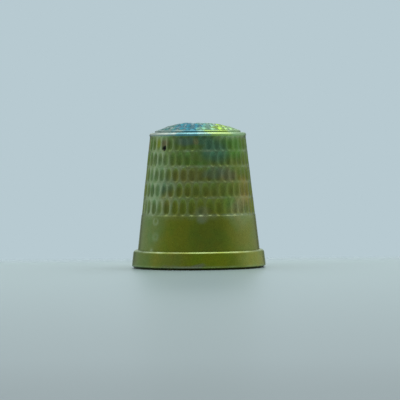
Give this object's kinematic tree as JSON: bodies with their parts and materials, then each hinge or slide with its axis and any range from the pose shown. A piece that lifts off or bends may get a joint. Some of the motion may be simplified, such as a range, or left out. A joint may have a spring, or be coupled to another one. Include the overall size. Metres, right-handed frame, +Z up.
{
  "type": "sewing thimble",
  "caption": "Tapered metal finger thimble with staggered rows of upright pits, a domed pitted crown set in a beaded lip, and a flared band round its open mouth.",
  "frame": {"origin": "centre of the mouth, on the plane that the thimble stands on", "axes": "+Z up along the thimble's axis, from the open mouth to the crown; -Y towards the viewer"},
  "size_m": [0.02, 0.02, 0.0217],
  "materials": {
    "wall_finish": "glossy colour-shifting lacquer over metal, green to olive with teal and amber patches, bare and bright inside and on worn edges",
    "crown_finish": "glossy colour-shifting lacquer over metal, blue to mint to yellow-green",
    "band_finish": "glossy colour-shifting lacquer over metal, olive, worn to bare metal along its lower edge"
  },
  "bodies": {
    "root": {"side_wall": "wall_finish", "crown_cap": "crown_finish", "rim_band": "band_finish"}
  },
  "joints": []
}
